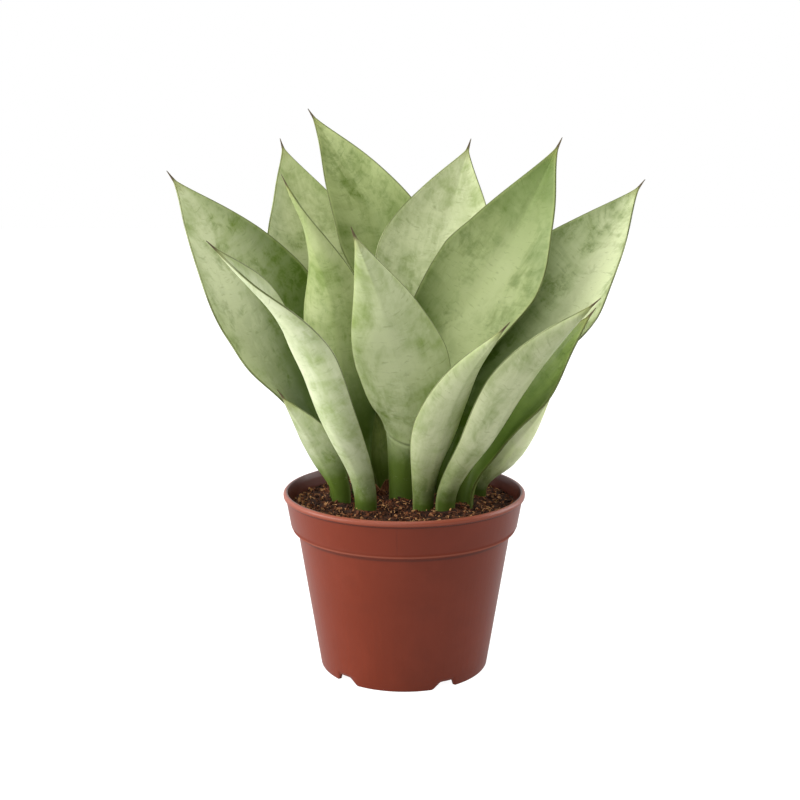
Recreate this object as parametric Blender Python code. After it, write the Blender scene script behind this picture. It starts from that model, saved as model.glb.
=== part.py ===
"""Potted snake plant: a drained nursery pot, its soil and fifteen stiff upright leaves.

Blender 4.5, metres, +Z up. The pot stands on z = 0 with its axis on the Z axis, and the side
where the short leaves stand is at -Y. Sizes below are in millimetres and angles in degrees.
"""

import math
import random

import bmesh
import bpy
import numpy as np

MM = 0.001
GAP = 0.3                # clearance between pieces that touch

# pot
POT_HEIGHT = 89.5
RIM_RADIUS = 60.2
BEAD_HEIGHT = 3.0        # rounded lip
BAND_HEIGHT = 17.6       # rim top down to the band's lower edge
BAND_TAPER = 2.4
SHOULDER_HEIGHT = 2.0    # slope from the band in to the body
SHOULDER_INSET = 3.4
BODY_TAPER = 11.0
WALL = 1.5
CHANNEL_WIDTH = 8.0      # drainage channel under the pot, inside the foot ring
CHANNEL_HEIGHT = 4.8
NOTCH_HEIGHT = 3.8
NOTCH_COUNT = 5
NOTCH_CENTRE = -133.0    # direction of one notch from +X
POT_SEGMENTS = 80        # sixteen columns between notches

BAND_TOP_RADIUS = RIM_RADIUS - 1.2
BAND_FOOT_RADIUS = BAND_TOP_RADIUS - BAND_TAPER
BODY_TOP_RADIUS = BAND_FOOT_RADIUS - SHOULDER_INSET
FOOT_RADIUS = BODY_TOP_RADIUS - BODY_TAPER
BOSS_RADIUS = FOOT_RADIUS - WALL - CHANNEL_WIDTH
SHOULDER_Z = POT_HEIGHT - BAND_HEIGHT - SHOULDER_HEIGHT

# soil
SOIL_DEPTH = 7.0         # rim top down to the soil
SOIL_RELIEF = 0.7
SOIL_SEGMENTS = 40
SOCKET_DEPTH = 9.0       # how far a leaf's foot goes into the soil
SOIL_Z = POT_HEIGHT - SOIL_DEPTH

# leaves
COLLAR = 2.5             # straight part of a leaf just above the soil
LEAF_THICK = 2.4         # along the middle, near the foot
LEAF_TIP_THICK = 1.5
LEAF_EDGE_THICK = 1.0
POINT_LENGTH = 7.0       # the thin hard point that ends a leaf
POINT_HALF_WIDTH = 0.7
LEAF_COLUMNS = 7
LEAF_STATIONS = (0.0, 0.07, 0.15, 0.24, 0.33, 0.42, 0.51, 0.60, 0.69, 0.77, 0.84, 0.90, 0.94, 0.97, 1.0)
LAYOUT_RIM_RADIUS = 60.2  # rim of the pot that the leaves below are laid out for
LEAF_SPREAD = RIM_RADIUS / LAYOUT_RIM_RADIUS   # sideways stretch of every leaf's middle surface

# Each leaf: foot (x, y); middle line a third of the way up, two thirds up and at the tip, as
# (x, y, height above the soil); half width at the foot and at the widest place; where that place is,
# as a share of the length; direction the hollow side faces at foot, middle and tip; half angle of the
# hollow at the foot and above.
LEAVES = {
    "leaf_front_left": ((-20, -19), (-37, -34, 52), (-57, -55, 100), (-84, -70, 133),
                        7.0, 18, 0.58, (70, 40, -10), (75, 60)),
    "leaf_low_left": ((-33, -3), (-40, -7, 22), (-50, -13, 42), (-61, -16, 60),
                      6.5, 12, 0.52, (60, 55, 50), (75, 50)),
    "leaf_far_left": ((-36, 11), (-52, 16, 53), (-80, 12, 110), (-116, 14, 163),
                      7.0, 33, 0.58, (-30, -40, -50), (75, 30)),
    "leaf_left": ((-22, 10), (-30, 2, 58), (-37, -11, 110), (-56, -28, 161),
                  6.0, 21, 0.42, (90, 85, 15), (75, 50)),
    "leaf_back_left": ((-20, 32), (-31, 44, 58), (-49, 62, 123), (-67, 80, 181),
                       7.0, 32, 0.64, (-60, -60, -60), (75, 30)),
    "leaf_back": ((-2, 33), (13, 44, 66), (-13, 57, 133), (-51, 71, 196),
                  7.0, 24, 0.66, (-85, -80, -75), (75, 30)),
    "leaf_young": ((-11, 20), (-12, 18, 18), (-13, 17, 35), (-16, 14, 52),
                   4.5, 7, 0.45, (-90, -90, -90), (75, 45)),
    "leaf_front": ((-1, 3), (3, -11, 48), (-8, -27, 93), (-24, -43, 138),
                   8.5, 23, 0.53, (90, 85, 80), (75, 30)),
    "leaf_back_right": ((7, 24), (10, 32, 58), (19, 43, 123), (35, 58, 180),
                        7.0, 33, 0.66, (-95, -95, -95), (75, 30)),
    "leaf_right": ((10, 12), (12, 13, 62), (52, 14, 128), (77, 16, 179),
                   7.0, 27, 0.64, (-110, -110, -115), (75, 25)),
    "leaf_front_right": ((11, -18), (15, -30, 33), (26, -46, 68), (46, -58, 97),
                         7.0, 14, 0.45, (120, 120, 125), (75, 45)),
    "leaf_mid_right": ((22, -19), (37, -30, 36), (60, -42, 77), (87, -50, 107),
                       7.0, 16, 0.58, (130, 135, 140), (75, 45)),
    "leaf_side_right": ((31, -5), (44, -9, 38), (72, -13, 74), (91, -14, 99),
                        8.0, 18, 0.62, (-130, -145, -150), (75, 40)),
    "leaf_low_right": ((38, 8), (50, 6, 22), (64, 4, 40), (75, 2, 59),
                       7.5, 13, 0.45, (115, 120, 125), (75, 45)),
    "leaf_far_right": ((22, 12), (33, 14, 48), (82, 22, 109), (122, 35, 159),
                       7.5, 30, 0.64, (-120, -130, -135), (75, 30)),
}


def mix(a, b, t):
    return a + (b - a) * t


def ease(t):
    return t * t * (3.0 - 2.0 * t)


def leaf_line(foot, low, high, tip):
    """Middle line of a leaf as closely spaced points, and the distance run at each."""
    knots = [np.array((foot[0], foot[1], SOIL_Z + COLLAR))]
    for x, y, height in (low, high, tip):
        knots.append(np.array((x, y, SOIL_Z + height)))
    steps = [np.linalg.norm(b - a) for a, b in zip(knots, knots[1:])]
    chords = [(b - a) / step for a, b, step in zip(knots, knots[1:], steps)]
    slopes = [np.array((0.0, 0.0, 1.0))]
    for i in (1, 2):
        slopes.append(mix(chords[i - 1], chords[i], steps[i - 1] / (steps[i - 1] + steps[i])))
    slopes.append(1.5 * chords[2] - 0.5 * slopes[2])
    points = []
    for i, step in enumerate(steps):
        for t in np.linspace(0.0, 1.0, 40, endpoint=False):
            bend = slopes[i] * (t**3 - 2 * t**2 + t) + slopes[i + 1] * (t**3 - t**2)
            points.append(mix(knots[i], knots[i + 1], ease(t)) + bend * step)
    points.append(knots[3])
    points = np.array(points)
    run = np.concatenate([[0.0], np.cumsum(np.linalg.norm(np.diff(points, axis=0), axis=1))])
    return points, run


def leaf_half_width(share, length, foot_half, belly_half, belly):
    """Half width of a leaf at a share of its length above the soil."""
    point_start = 1.0 - POINT_LENGTH / length
    if share >= point_start:
        return mix(POINT_HALF_WIDTH, 0.3, (share - point_start) / (1.0 - point_start))
    share = share / point_start
    if share < belly:
        return mix(foot_half, belly_half, ease(share / belly))
    t = (share - belly) / (1.0 - belly)
    return mix(POINT_HALF_WIDTH, belly_half, (1.0 - t**1.5) ** 1.15)


def leaf_skins(recipe, stations, columns):
    """Hollow side and outer side of a leaf, as arrays of points with a row for each station."""
    foot, low, high, tip, foot_half, belly_half, belly, facing, hollow = recipe
    line, run = leaf_line(foot, low, high, tip)
    length = run[-1]

    def at(distance):
        distance = min(max(distance, 0.0), length)
        return np.array([np.interp(distance, run, line[:, k]) for k in range(3)])

    inner, outer = [], []
    for share in stations:
        centre = at(share * length)
        along = at(share * length + 1.0) - at(share * length - 1.0)
        if share == 0.0:
            along = np.array((0.0, 0.0, 1.0))
        along = along / np.linalg.norm(along)
        half_turn = ease(min(share * 2.0, 1.0)) * (facing[1] - facing[0])
        rest_turn = ease(max(share * 2.0 - 1.0, 0.0)) * (facing[2] - facing[1])
        turn = math.radians(facing[0] + half_turn + rest_turn)
        face = np.array((math.cos(turn), math.sin(turn), 0.0))
        face = face - along * face.dot(along)
        face = face / np.linalg.norm(face)
        side = np.cross(along, face)
        half = leaf_half_width(share, length, foot_half, belly_half, belly)
        arc = math.radians(mix(hollow[0], hollow[1], ease(min(share / 0.4, 1.0))))
        radius = half / arc
        thick = min(mix(LEAF_THICK, LEAF_TIP_THICK, share), 1.2 * half)
        inner.append([])
        outer.append([])
        for u in np.linspace(-1.0, 1.0, columns):
            a = u * arc
            middle = centre + side * radius * math.sin(a) + face * radius * (1.0 - math.cos(a))
            middle = middle * (LEAF_SPREAD, LEAF_SPREAD, 1.0)
            normal = face * math.cos(a) - side * math.sin(a)
            depth = mix(thick, min(thick, LEAF_EDGE_THICK), u * u) / 2.0
            inner[-1].append(middle + normal * depth)
            outer[-1].append(middle - normal * depth)
    return np.array(inner), np.array(outer)


# --- build ---
def material(name, rgb, roughness):
    """Principled material whose colour is given as an 8-bit sRGB triple."""
    made = bpy.data.materials.new(name)
    made.use_nodes = True
    shader = made.node_tree.nodes["Principled BSDF"]
    linear = [((c / 255.0 + 0.055) / 1.055) ** 2.4 for c in rgb]
    shader.inputs["Base Color"].default_value = (*linear, 1.0)
    shader.inputs["Roughness"].default_value = roughness
    shader.inputs["Metallic"].default_value = 0.0
    return made


def add_object(name, bm, rgb, roughness):
    """Turn a bmesh in millimetres into a smooth shaded object in metres."""
    bmesh.ops.recalc_face_normals(bm, faces=bm.faces)
    for vert in bm.verts:
        vert.co *= MM
    mesh = bpy.data.meshes.new(name)
    bm.to_mesh(mesh)
    bm.free()
    mesh.shade_smooth()
    mesh.set_sharp_from_angle(angle=math.radians(40))
    mesh.materials.append(material(name, rgb, roughness))
    made = bpy.data.objects.new(name, mesh)
    bpy.context.scene.collection.objects.link(made)
    return made


def lathe(profile, segments, start, lift):
    """Turn a profile of (radius, z) whose two ends lie on the axis; lift raises single points."""
    bm = bmesh.new()
    first = bm.verts.new((0.0, 0.0, profile[0][1]))
    last = bm.verts.new((0.0, 0.0, profile[-1][1]))
    rings = []
    for row, (radius, z) in enumerate(profile[1:-1], 1):
        rings.append([])
        for column in range(segments):
            a = math.radians(start + 360.0 * column / segments)
            point = (radius * math.cos(a), radius * math.sin(a), z + lift(row, column))
            rings[-1].append(bm.verts.new(point))
    for k in range(segments):
        n = (k + 1) % segments
        bm.faces.new((first, rings[0][k], rings[0][n]))
        bm.faces.new((last, rings[-1][n], rings[-1][k]))
        for a, b in zip(rings, rings[1:]):
            bm.faces.new((a[k], b[k], b[n], a[n]))
    return bm


def pot_inside():
    """Inner profile of the pot, from the centre of its floor up to the rim."""
    floor = CHANNEL_HEIGHT + WALL
    lean = BODY_TAPER / SHOULDER_Z
    return [
        (0.0, WALL),
        (BOSS_RADIUS - WALL, WALL),
        (BOSS_RADIUS - WALL + 1.0, floor),
        (FOOT_RADIUS - WALL + lean * floor, floor),
        (BODY_TOP_RADIUS - WALL, SHOULDER_Z),
        (BAND_FOOT_RADIUS - WALL, SHOULDER_Z + SHOULDER_HEIGHT - 0.8),
        (BAND_TOP_RADIUS - WALL, POT_HEIGHT - BEAD_HEIGHT),
        (RIM_RADIUS - 2.2, POT_HEIGHT - 0.5),
    ]


def build_pot():
    under = [
        (0.0, 0.0),
        (BOSS_RADIUS, 0.0),
        (BOSS_RADIUS + 1.0, CHANNEL_HEIGHT),
        (FOOT_RADIUS - WALL + 0.3, CHANNEL_HEIGHT),
        (FOOT_RADIUS - WALL, 0.0),
        (FOOT_RADIUS - 0.6, 0.0),
        (FOOT_RADIUS, 0.8),
    ]
    outside = [
        (BODY_TOP_RADIUS, SHOULDER_Z),
        (BAND_FOOT_RADIUS - 0.9, POT_HEIGHT - BAND_HEIGHT - 1.2),
        (BAND_FOOT_RADIUS, POT_HEIGHT - BAND_HEIGHT),
        (BAND_TOP_RADIUS, POT_HEIGHT - BEAD_HEIGHT - 0.5),
        (RIM_RADIUS - 0.2, POT_HEIGHT - BEAD_HEIGHT + 0.3),
        (RIM_RADIUS, POT_HEIGHT - 1.4),
        (RIM_RADIUS - 0.5, POT_HEIGHT - 0.4),
        (RIM_RADIUS - 1.3, POT_HEIGHT),
    ]
    profile = under + outside + pot_inside()[::-1]
    foot_rows = range(len(under) - 3, len(under))
    spacing = POT_SEGMENTS // NOTCH_COUNT

    def lift(row, column):
        if row in foot_rows and column % spacing in (0, 1, spacing - 1):
            return NOTCH_HEIGHT - profile[row][1] * 0.5
        return 0.0

    add_object("pot", lathe(profile, POT_SEGMENTS, NOTCH_CENTRE, lift), (130, 62, 45), 0.45)


def soil_radius(z):
    """Inner radius of the pot's wall at height z, less the clearance."""
    wall = pot_inside()[3:]
    return float(np.interp(z, [p[1] for p in wall], [p[0] for p in wall])) - GAP


def build_soil():
    rng = random.Random(12)
    inside = pot_inside()
    edge = soil_radius(SOIL_Z)
    sides = [
        (0.0, WALL + GAP),
        (inside[1][0] - GAP, WALL + GAP),
        (inside[2][0] - GAP, inside[2][1] + GAP),
        (soil_radius(inside[3][1] + GAP), inside[3][1] + GAP),
        (inside[4][0] - GAP, inside[4][1]),
        (inside[5][0] - GAP, inside[5][1]),
        (edge, SOIL_Z),
    ]
    top = [(edge * share, SOIL_Z) for share in (0.86, 0.68, 0.45)] + [(0.0, SOIL_Z + 0.8)]

    def lift(row, column):
        return 0.0 if row < len(sides) else rng.uniform(-SOIL_RELIEF, SOIL_RELIEF)

    soil = add_object("soil", lathe(sides + top, SOIL_SEGMENTS, 0.0, lift), (62, 40, 24), 0.95)
    for name, recipe in LEAVES.items():
        cutter = add_object("socket_" + name, socket(recipe), (62, 40, 24), 0.95)
        cutter.hide_render = True
        cutter.display_type = "WIRE"
        cut = soil.modifiers.new(cutter.name, "BOOLEAN")
        cut.operation = "DIFFERENCE"
        cut.solver = "EXACT"
        cut.object = cutter


def section_loop(inner, outer):
    """Closed loop round a leaf's section: along the hollow side, back along the outer side."""
    return list(inner) + list(outer[::-1])


def cap_section(bm, ring):
    """Close the end of a leaf with a strip of faces from its hollow side to its outer side."""
    count = len(ring)
    for i in range(count // 2 - 1):
        bm.faces.new((ring[i], ring[i + 1], ring[count - 2 - i], ring[count - 1 - i]))


def skin_rings(bm, rings):
    for a, b in zip(rings, rings[1:]):
        for i in range(len(a)):
            n = (i + 1) % len(a)
            bm.faces.new((a[i], a[n], b[n], b[i]))
    cap_section(bm, rings[0])
    cap_section(bm, rings[-1])


def socket(recipe):
    """Cutter for one leaf's hole in the soil: the foot's own section grown by the clearance."""
    inner, outer = leaf_skins(recipe, (0.0,), LEAF_COLUMNS)
    loop = [point[:2] for point in section_loop(inner[0], outer[0])]
    count = len(loop)
    grown = []
    for i, point in enumerate(loop):
        normals = []
        for step in (point - loop[i - 1], loop[(i + 1) % count] - point):
            normals.append(np.array((step[1], -step[0])) / np.linalg.norm(step))
        grown.append(point + GAP * (normals[0] + normals[1]) / (1.0 + normals[0].dot(normals[1])))
    bm = bmesh.new()
    levels = (SOIL_Z - SOCKET_DEPTH - GAP, SOIL_Z + 6.0)
    skin_rings(bm, [[bm.verts.new((p[0], p[1], z)) for p in grown] for z in levels])
    return bm


def build_leaf(name, recipe):
    inner, outer = leaf_skins(recipe, LEAF_STATIONS, LEAF_COLUMNS)
    loops = [section_loop(a, b) for a, b in zip(inner, outer)]
    buried = [(p[0], p[1], SOIL_Z - SOCKET_DEPTH) for p in loops[0]]
    bm = bmesh.new()
    skin_rings(bm, [[bm.verts.new(tuple(p)) for p in loop] for loop in [buried] + loops])
    add_object(name, bm, (140, 160, 100), 0.4)


def main():
    for old in list(bpy.data.objects):
        bpy.data.objects.remove(old)
    build_pot()
    build_soil()
    for name, recipe in LEAVES.items():
        build_leaf(name, recipe)


main()
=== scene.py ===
"""Potted snake plant: the finished look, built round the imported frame.

Blender 4.5, metres, +Z up. Shapes are worked out in millimetres and turned into metres when a
mesh is made. Each leaf, the pot and the soil replace the plain solid of the frame whose place
they take.
"""

import math
import random

import bmesh
import bpy
import numpy as np
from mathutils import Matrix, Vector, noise


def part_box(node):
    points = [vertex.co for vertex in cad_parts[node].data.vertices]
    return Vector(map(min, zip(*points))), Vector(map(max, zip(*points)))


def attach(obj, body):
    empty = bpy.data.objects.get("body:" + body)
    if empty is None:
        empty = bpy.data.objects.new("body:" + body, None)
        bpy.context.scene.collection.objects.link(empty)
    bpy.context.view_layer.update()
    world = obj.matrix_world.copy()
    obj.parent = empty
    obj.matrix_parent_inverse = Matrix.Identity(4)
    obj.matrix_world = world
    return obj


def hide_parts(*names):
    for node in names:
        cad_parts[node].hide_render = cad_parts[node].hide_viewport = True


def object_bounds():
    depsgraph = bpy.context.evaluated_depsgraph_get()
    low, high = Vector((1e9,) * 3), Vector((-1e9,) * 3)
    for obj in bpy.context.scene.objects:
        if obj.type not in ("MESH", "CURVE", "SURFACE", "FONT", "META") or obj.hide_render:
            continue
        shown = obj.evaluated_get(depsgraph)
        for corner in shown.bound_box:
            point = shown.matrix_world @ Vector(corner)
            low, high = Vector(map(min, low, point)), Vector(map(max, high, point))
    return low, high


bl_info = {
    "name": "Potted snake plant",
    "version": (1, 0, 0),
    "blender": (4, 5, 0),
    "location": "3D View > Sidebar > Plant",
    "description": "Builds a snake plant with silvery leaves in a terracotta coloured nursery pot",
    "category": "Add Mesh",
}

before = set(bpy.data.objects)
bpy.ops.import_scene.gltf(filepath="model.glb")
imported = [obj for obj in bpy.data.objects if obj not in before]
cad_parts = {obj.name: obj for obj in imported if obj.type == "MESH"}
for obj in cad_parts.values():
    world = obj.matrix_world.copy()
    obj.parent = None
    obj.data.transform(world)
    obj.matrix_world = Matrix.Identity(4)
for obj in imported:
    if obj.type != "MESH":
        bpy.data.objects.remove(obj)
CAD_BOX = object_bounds()

MM = 0.001
RIM_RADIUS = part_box("pot")[1].x / MM
POT_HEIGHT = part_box("pot")[1].z / MM

# --- leaves, laid out as the frame's leaves are ---
SOIL_DEPTH = 7.0
SOIL_Z = POT_HEIGHT - SOIL_DEPTH
COLLAR = 2.5
BURIED = 6.0
LEAF_THICK = 2.4
LEAF_TIP_THICK = 1.5
LEAF_EDGE_THICK = 1.0
POINT_LENGTH = 7.0
POINT_HALF_WIDTH = 0.7
POINT_END_HALF_WIDTH = 0.12
LAYOUT_RIM_RADIUS = 60.2
LEAF_SPREAD = RIM_RADIUS / LAYOUT_RIM_RADIUS
LEAF_ROWS = 96
LEAF_COLUMNS = 33
CREASE_HEIGHT = 29.0     # above the soil, the fold across the front leaf's stalk
CREASE_DEPTH = 0.45
SKIN_SHARP_ANGLE = 60

# Each leaf: foot (x, y); middle line a third of the way up, two thirds up and at the tip, as
# (x, y, height above the soil); half width at the foot and at the widest place; where that place is,
# as a share of the length; direction the hollow side faces at foot, middle and tip; half angle of the
# hollow at the foot and above.
LEAVES = {
    "leaf_front_left": ((-20, -19), (-37, -34, 52), (-57, -55, 100), (-84, -70, 133),
        7.0, 18, 0.58, (70, 40, -10), (75, 60)),
    "leaf_low_left": ((-33, -3), (-40, -7, 22), (-50, -13, 42), (-61, -16, 60),
        6.5, 12, 0.52, (60, 55, 50), (75, 50)),
    "leaf_far_left": ((-36, 11), (-52, 16, 53), (-80, 12, 110), (-116, 14, 163),
        7.0, 33, 0.58, (-30, -40, -50), (75, 30)),
    "leaf_left": ((-22, 10), (-30, 2, 58), (-37, -11, 110), (-56, -28, 161),
        6.0, 21, 0.42, (90, 85, 15), (75, 50)),
    "leaf_back_left": ((-20, 32), (-31, 44, 58), (-49, 62, 123), (-67, 80, 181),
        7.0, 32, 0.64, (-60, -60, -60), (75, 30)),
    "leaf_back": ((-2, 33), (13, 44, 66), (-13, 57, 133), (-51, 71, 196),
        7.0, 24, 0.66, (-85, -80, -75), (75, 30)),
    "leaf_young": ((-11, 20), (-12, 18, 18), (-13, 17, 35), (-16, 14, 52),
        4.5, 7, 0.45, (-90, -90, -90), (75, 45)),
    "leaf_front": ((-1, 3), (3, -11, 48), (-8, -27, 93), (-24, -43, 138),
        8.5, 23, 0.53, (90, 85, 80), (75, 30)),
    "leaf_back_right": ((7, 24), (10, 32, 58), (19, 43, 123), (35, 58, 180),
        7.0, 33, 0.66, (-95, -95, -95), (75, 30)),
    "leaf_right": ((10, 12), (12, 13, 62), (52, 14, 128), (77, 16, 179),
        7.0, 27, 0.64, (-110, -110, -115), (75, 25)),
    "leaf_front_right": ((11, -18), (15, -30, 33), (26, -46, 68), (46, -58, 97),
        7.0, 14, 0.45, (120, 120, 125), (75, 45)),
    "leaf_mid_right": ((22, -19), (37, -30, 36), (60, -42, 77), (87, -50, 107),
        7.0, 16, 0.58, (130, 135, 140), (75, 45)),
    "leaf_side_right": ((31, -5), (44, -9, 38), (72, -13, 74), (91, -14, 99),
        8.0, 18, 0.62, (-130, -145, -150), (75, 40)),
    "leaf_low_right": ((38, 8), (50, 6, 22), (64, 4, 40), (75, 2, 59),
        7.5, 13, 0.45, (115, 120, 125), (75, 45)),
    "leaf_far_right": ((22, 12), (33, 14, 48), (82, 22, 109), (122, 35, 159),
        7.5, 30, 0.64, (-120, -130, -135), (75, 30)),
}

# How each leaf is coloured: pale tissue, deep tissue, a paler band along the leaf as (place across
# from -1 to 1, half width, strength), the deep green foot with painted shade over it, which reaches
# higher on the leaves that stand further back, as (share of the length it reaches up, how much
# further it reaches towards the right hand edge), and how deep the tip turns. Colours are 8-bit sRGB.
LEAF_LOOKS = {
    "leaf_front_left": ((206, 213, 176), (148, 166, 102), (0.2, 0.5, 0.2), (0.04, 0.0), 0.0),
    "leaf_low_left": ((184, 191, 154), (116, 136, 68), (0.0, 0.5, 0.2), (0.34, 0.0), 0.0),
    "leaf_far_left": ((197, 205, 160), (116, 138, 56), (-0.5, 0.6, 0.5), (0.76, -0.3), 0.0),
    "leaf_left": ((172, 182, 128), (108, 130, 56), (0.6, 0.4, 0.1), (0.52, 0.0), 0.1),
    "leaf_back_left": ((184, 193, 140), (104, 126, 44), (0.3, 0.5, 0.2), (0.66, 0.0), 0.0),
    "leaf_back": ((166, 177, 118), (88, 110, 34), (-0.5, 0.4, 0.2), (0.86, 0.0), 0.0),
    "leaf_young": ((136, 150, 78), (80, 102, 36), (0.0, 0.5, 0.1), (0.4, 0.0), 0.0),
    "leaf_front": ((198, 207, 162), (134, 154, 80), (0.1, 0.6, 0.3), (0.22, 0.0), 0.0),
    "leaf_back_right": ((206, 213, 168), (118, 140, 58), (0.3, 0.6, 0.5), (0.52, 0.0), 0.0),
    # Painted shade: this leaf is painted a darker green and its tip turned deep, to darken it where light
    # falls strongly on it.
    "leaf_right": ((160, 172, 116), (82, 106, 32), (0.2, 0.62, 0.8), (0.46, 0.16), 0.7),
    "leaf_front_right": ((201, 208, 164), (142, 161, 94), (0.3, 0.5, 0.3), (0.02, 0.0), 0.1),
    "leaf_mid_right": ((199, 206, 162), (134, 153, 88), (0.2, 0.5, 0.3), (0.03, 0.0), 0.1),
    # Painted shade: this leaf is painted dark olive all over, as if it lay in the shadow of the leaves in
    # front of it.
    "leaf_side_right": ((112, 130, 64), (66, 88, 24), (-0.4, 0.5, 0.3), (0.9, 0.0), 0.0),
    # Painted light: this leaf is painted very pale, as if brightly lit.
    "leaf_low_right": ((240, 246, 200), (204, 222, 142), (0.3, 0.5, 0.2), (0.04, 0.0), 0.0),
    "leaf_far_right": ((204, 212, 166), (94, 116, 40), (0.5, 0.55, 0.85), (0.86, 0.22), 0.1),
}

# Greens that all the leaves share, as 8-bit sRGB.
BLOOM_GREY = (200, 206, 164)
# Painted shade: the dark green that the lower parts of the leaves turn, partly their own deep foot and
# partly shadow between the leaves.
FOOT_AND_SHADE_GREEN = (72, 96, 20)
STALK_GREEN = (104, 126, 46)
EDGE_GREEN = (186, 196, 126)
TIP_GREEN = (128, 132, 66)

# Dry scales round the young leaf's foot: direction each faces, how far out it stands, its height
# and half the angle that it wraps.
SHEATH_SCALES = (
    (-70.0, 5.6, 9.0, 40.0),
    (-125.0, 6.6, 6.5, 34.0),
    (-20.0, 6.4, 8.0, 36.0),
    (-95.0, 7.8, 4.5, 28.0),
)
SHEATH_ROWS = 9
SHEATH_THICK = 0.35

# --- pot ---
BEAD_HEIGHT = 3.0
BAND_HEIGHT = 17.6
BAND_TAPER = 2.4
SHOULDER_HEIGHT = 2.0
SHOULDER_INSET = 3.4
BODY_TAPER = 11.0
WALL = 1.5
CHANNEL_WIDTH = 8.0
CHANNEL_HEIGHT = 4.8
NOTCH_HEIGHT = 3.5
NOTCH_COUNT = 5
NOTCH_CENTRE = -133.0
NOTCH_LONG_SLOPE = (10.2, 5.6)      # degrees from the notch's centre to the slope's end, and its run
NOTCH_SHORT_SLOPE = (6.2, 1.6)
POT_SEGMENTS = 300
POT_SHARP_ANGLE = 38
SEAM_TURN = -98.0        # distance round the rim of the faint mould line, from the +X side
SCUFF_COLOUR = (160, 100, 80)
# Painted shade: the inside of the pot painted dark as if in shadow.
INSIDE_SHADE_COLOUR = (64, 28, 18)
# Painted shade: dark lines just below the shoulder and under the bead.
CREASE_SHADE_COLOUR = (70, 30, 20)
# Painted highlight: a pale line along the step at the band's foot.
STEP_HIGHLIGHT_COLOUR = (164, 96, 76)
# Painted highlight: a pale line along the top of the lip.
LIP_HIGHLIGHT_COLOUR = (168, 98, 76)

BAND_TOP_RADIUS = RIM_RADIUS - 1.2
BAND_FOOT_RADIUS = BAND_TOP_RADIUS - BAND_TAPER
BODY_TOP_RADIUS = BAND_FOOT_RADIUS - SHOULDER_INSET
FOOT_RADIUS = BODY_TOP_RADIUS - BODY_TAPER
BOSS_RADIUS = FOOT_RADIUS - WALL - CHANNEL_WIDTH
BAND_FOOT_Z = POT_HEIGHT - BAND_HEIGHT
SHOULDER_Z = BAND_FOOT_Z - SHOULDER_HEIGHT

# --- soil ---
SOIL_RINGS = 64
SOIL_SPOKES = 220
SOIL_BED = 8.0
SOIL_GAP = 0.15
FIBRE_STEPS = 6
MIDDLE_SOIL = (116, 66, 38)

# --- studio, in metres ---
FLOOR_HALF = 6.0
CAMERA_PLACE = (-0.0021, -0.570, 0.2385)
CAMERA_TILT = 79.65
CAMERA_LENS = 52.88
# Each soft light: name, place, size and share of the light power.
LIGHTS = (
    ("soft_left", (-1.05, -0.25, 0.38), 0.9, 2.1),
    ("soft_right", (1.0, 0.25, 0.4), 0.8, 1.0),
    ("soft_top", (-0.1, -0.2, 1.3), 1.0, 0.9),
    ("soft_front", (-0.35, -1.2, 0.6), 0.8, 0.76),
)


def srgb(red, green, blue):
    """Linear colour of an 8-bit sRGB triple."""
    return tuple(((c / 255.0 + 0.055) / 1.055) ** 2.4 for c in (red, green, blue))


def colour_setting(name, description, default):
    """Property for a colour that a user can change."""
    return bpy.props.FloatVectorProperty(
        name=name, description=description, default=default, size=3, min=0.0, max=1.0, subtype="COLOR",
    )


class PlantSettings(bpy.types.PropertyGroup):
    """Sizes and colours of the plant, its pot and the studio round it."""

    margin_width: bpy.props.FloatProperty(
        name="Margin width", description="Width of the dark line round a leaf",
        default=0.75 * MM, min=0.0, unit="LENGTH",
    )
    foot_height: bpy.props.FloatProperty(
        name="Dark foot", description="Height above the soil where a leaf's foot turns deep green",
        default=17.0 * MM, min=0.0, unit="LENGTH",
    )
    leaf_roughness: bpy.props.FloatProperty(
        name="Leaf roughness", description="Roughness of the waxy leaf skin",
        default=0.46, min=0.0, max=1.0, subtype="FACTOR",
    )
    margin_colour: colour_setting("Margin", "Colour of the dark line round a leaf", srgb(84, 92, 44))
    foot_colour: colour_setting("Leaf foot", "Colour of a leaf just above the soil", srgb(56, 74, 18))
    point_colour: colour_setting("Leaf point", "Colour of the hard point that ends a leaf", srgb(88, 76, 52))
    pot_colour: colour_setting("Pot", "Colour of the pot's plastic", srgb(112, 41, 18))
    pot_roughness: bpy.props.FloatProperty(
        name="Pot roughness", description="Roughness of the pot's moulded plastic",
        default=0.34, min=0.0, max=1.0, subtype="FACTOR",
    )
    soil_dark: colour_setting("Dark soil", "Colour of the damp soil between the crumbs", srgb(46, 24, 13))
    soil_pale: colour_setting("Pale soil", "Colour of the dry coir bits in the soil", srgb(216, 162, 108))
    crumb_count: bpy.props.IntProperty(
        name="Crumbs", description="Number of loose crumbs on the soil", default=3600, min=0,
    )
    fibre_count: bpy.props.IntProperty(
        name="Fibres", description="Number of coir fibres on the soil", default=900, min=0,
    )
    floor_colour: colour_setting("Floor", "Colour of the studio floor", (0.3, 0.3, 0.3))
    floor_glow: bpy.props.FloatProperty(
        name="Floor glow", description="How much light the lit floor throws up at the plant",
        default=0.3, min=0.0, soft_max=2.0,
    )
    light_power: bpy.props.FloatProperty(
        name="Light power", description="Power that the soft lights share out",
        default=8.0, min=0.0, unit="POWER",
    )


def mix(a, b, t):
    """Value a share t of the way from a to b."""
    return a + (b - a) * t


def ease(t):
    """Share t with a slow start and a slow end."""
    return t * t * (3.0 - 2.0 * t)


def unit(vectors):
    """Vectors along the last axis, scaled to length one."""
    return vectors / np.linalg.norm(vectors, axis=-1, keepdims=True)


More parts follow.
